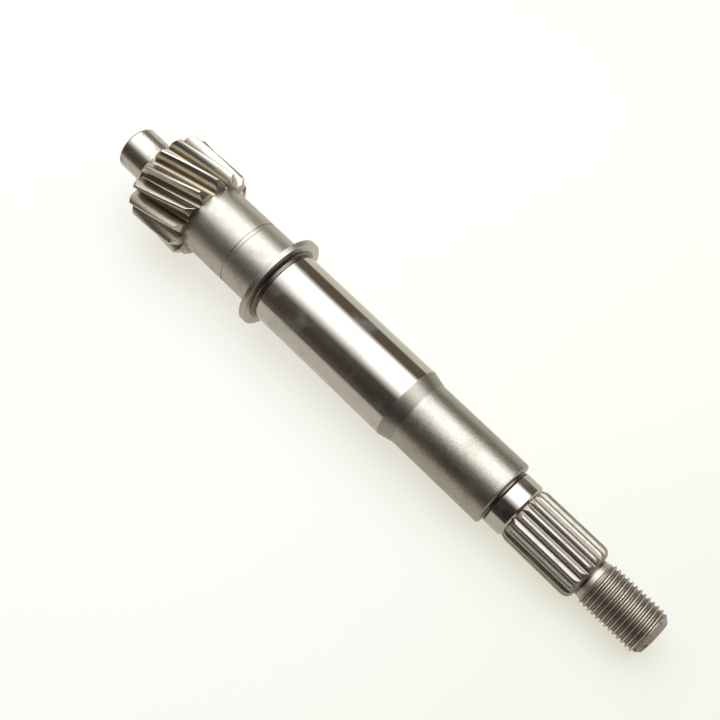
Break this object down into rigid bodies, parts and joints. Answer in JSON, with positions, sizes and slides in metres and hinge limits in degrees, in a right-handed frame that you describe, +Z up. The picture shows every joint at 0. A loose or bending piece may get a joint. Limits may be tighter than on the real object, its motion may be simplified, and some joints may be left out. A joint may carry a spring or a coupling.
{
  "type": "drive shaft",
  "caption": "Turned steel drive shaft with a helical pinion, collar, ground bearing seat, tapered shank, splined section and threaded end for a nut.",
  "frame": {"origin": "on the supporting surface, under the middle of the part's box", "axes": "+X along the shaft towards the threaded end, which lies lower by the tilt at rest; +Z up"},
  "size_m": [0.1756, 0.026, 0.0282],
  "materials": {
    "bare_steel": "satin turned steel with ground journals"
  },
  "bodies": {
    "root": {"drive_shaft": "bare_steel"}
  },
  "joints": []
}
